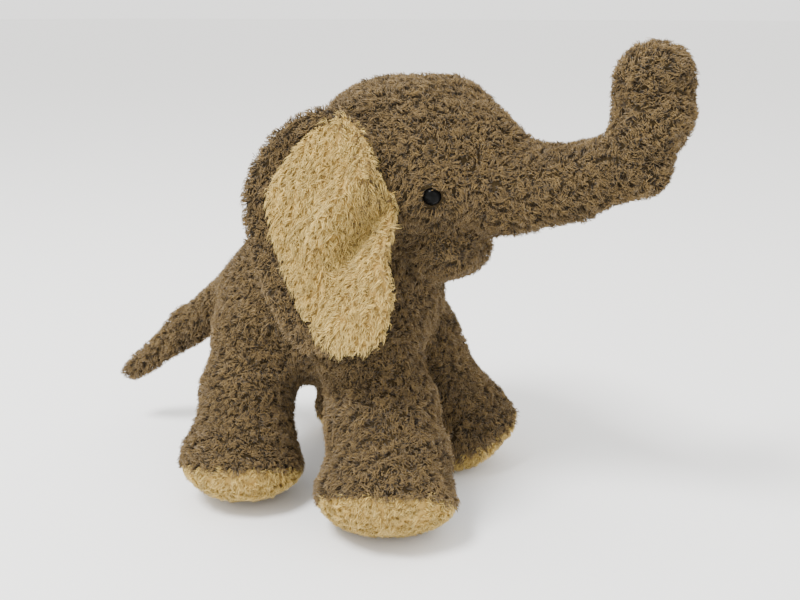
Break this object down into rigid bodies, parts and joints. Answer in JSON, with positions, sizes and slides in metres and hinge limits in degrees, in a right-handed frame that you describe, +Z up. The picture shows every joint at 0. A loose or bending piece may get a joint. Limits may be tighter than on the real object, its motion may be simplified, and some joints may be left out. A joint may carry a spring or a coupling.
{
  "type": "plush elephant",
  "caption": "Standing plush elephant with a raised trunk, hanging two-tone ears, short tail and padded feet; head, trunk, ears, tail and legs bend at their seams.",
  "frame": {"origin": "on the floor under the middle of the toy's bounding box", "axes": "+Z up, +Y from the trunk towards the tail, so the face looks along -Y, +X to the toy's left"},
  "size_m": [0.1739, 0.355, 0.2515],
  "materials": {
    "brown_plush": "curly grey-brown plush pile, 4 to 6 mm, matted into small locks",
    "cream_plush": "silky cream plush pile, about 7 mm, combed downwards",
    "stuffing": "loose white polyester fibre",
    "eye_plastic": "polished black",
    "washer_plastic": "moulded"
  },
  "bodies": {
    "torso": {"torso_panel_left": "brown_plush", "torso_panel_right": "brown_plush", "belly_gusset": "brown_plush", "torso_stuffing": "stuffing"},
    "neck": {"neck_cover": "brown_plush", "neck_stuffing": "stuffing"},
    "head": {"head_side_left": "brown_plush", "head_side_right": "brown_plush", "head_gusset": "brown_plush", "jaw_panel": "brown_plush", "head_stuffing": "stuffing", "eye_left": "eye_plastic", "eye_right": "eye_plastic", "eye_washer_left": "washer_plastic", "eye_washer_right": "washer_plastic"},
    "ear_left": {"ear_front_left": "cream_plush", "ear_back_left": "brown_plush"},
    "ear_right": {"ear_front_right": "cream_plush", "ear_back_right": "brown_plush"},
    "trunk_base": {"trunk_base_cover": "brown_plush", "trunk_base_stuffing": "stuffing"},
    "trunk_middle": {"trunk_middle_cover": "brown_plush", "trunk_middle_stuffing": "stuffing"},
    "trunk_tip": {"trunk_tip_cover": "brown_plush", "trunk_tip_stuffing": "stuffing"},
    "tail_root": {"tail_root_cover": "brown_plush", "tail_root_stuffing": "stuffing"},
    "tail_tip": {"tail_tip_cover": "brown_plush", "tail_tip_stuffing": "stuffing"},
    "leg_front_left": {"leg_cover_front_left": "brown_plush", "foot_pad_front_left": "cream_plush", "leg_stuffing_front_left": "stuffing"},
    "leg_front_right": {"leg_cover_front_right": "brown_plush", "foot_pad_front_right": "cream_plush", "leg_stuffing_front_right": "stuffing"},
    "leg_rear_left": {"leg_cover_rear_left": "brown_plush", "foot_pad_rear_left": "cream_plush", "leg_stuffing_rear_left": "stuffing"},
    "leg_rear_right": {"leg_cover_rear_right": "brown_plush", "foot_pad_rear_right": "cream_plush", "leg_stuffing_rear_right": "stuffing"}
  },
  "joints": [
    {"name": "head_turn", "type": "hinge", "parent": "torso", "child": "neck", "pos_m": [0, -0.013, 0.142], "axis": [0, -0.2728, 0.9621], "range_deg": [-10, 10], "stiffness_Nm_per_rad": 6},
    {"name": "head_nod", "type": "hinge", "parent": "neck", "child": "head", "pos_m": [0, -0.013, 0.142], "axis": [1, 0, 0], "range_deg": [-12, 12], "stiffness_Nm_per_rad": 6},
    {"name": "trunk_base_bend", "type": "hinge", "parent": "head", "child": "trunk_base", "pos_m": [0, -0.089, 0.181], "axis": [1, 0, 0], "range_deg": [-16, 16], "stiffness_Nm_per_rad": 1.5},
    {"name": "trunk_middle_bend", "type": "hinge", "parent": "trunk_base", "child": "trunk_middle", "pos_m": [0, -0.122, 0.185], "axis": [1, 0, 0], "range_deg": [-16, 16], "stiffness_Nm_per_rad": 1},
    {"name": "trunk_tip_bend", "type": "hinge", "parent": "trunk_middle", "child": "trunk_tip", "pos_m": [0, -0.152, 0.198], "axis": [1, 0, 0], "range_deg": [-16, 16], "stiffness_Nm_per_rad": 0.7},
    {"name": "ear_left_flap", "type": "hinge", "parent": "head", "child": "ear_left", "pos_m": [0.0486, -0.0456, 0.1958], "axis": [0.137, -0.5107, -0.8488], "range_deg": [0, 70]},
    {"name": "ear_right_flap", "type": "hinge", "parent": "head", "child": "ear_right", "pos_m": [-0.0486, -0.0456, 0.1958], "axis": [0.137, 0.5107, 0.8488], "range_deg": [0, 70]},
    {"name": "tail_swing", "type": "hinge", "parent": "torso", "child": "tail_root", "pos_m": [0, 0.086, 0.104], "axis": [0, 0, 1], "range_deg": [-25, 25], "stiffness_Nm_per_rad": 0.3},
    {"name": "tail_lift", "type": "hinge", "parent": "tail_root", "child": "tail_tip", "pos_m": [-0.004, 0.13, 0.073], "axis": [1, 0, 0], "range_deg": [-25, 25], "stiffness_Nm_per_rad": 0.2},
    {"name": "leg_front_left_swing", "type": "hinge", "parent": "torso", "child": "leg_front_left", "pos_m": [0.028, -0.02, 0.088], "axis": [0.9587, 0.0795, 0.2732], "range_deg": [-15, 6], "stiffness_Nm_per_rad": 6},
    {"name": "leg_front_right_swing", "type": "hinge", "parent": "torso", "child": "leg_front_right", "pos_m": [-0.028, -0.02, 0.088], "axis": [0.9372, -0.1417, -0.3188], "range_deg": [-15, 15], "stiffness_Nm_per_rad": 6},
    {"name": "leg_rear_left_swing", "type": "hinge", "parent": "torso", "child": "leg_rear_left", "pos_m": [0.028, 0.053, 0.088], "axis": [0.9273, 0.0605, 0.3694], "range_deg": [-6, 15], "stiffness_Nm_per_rad": 6},
    {"name": "leg_rear_right_swing", "type": "hinge", "parent": "torso", "child": "leg_rear_right", "pos_m": [-0.028, 0.053, 0.088], "axis": [0.9256, -0.0069, -0.3785], "range_deg": [-15, 15], "stiffness_Nm_per_rad": 6}
  ]
}
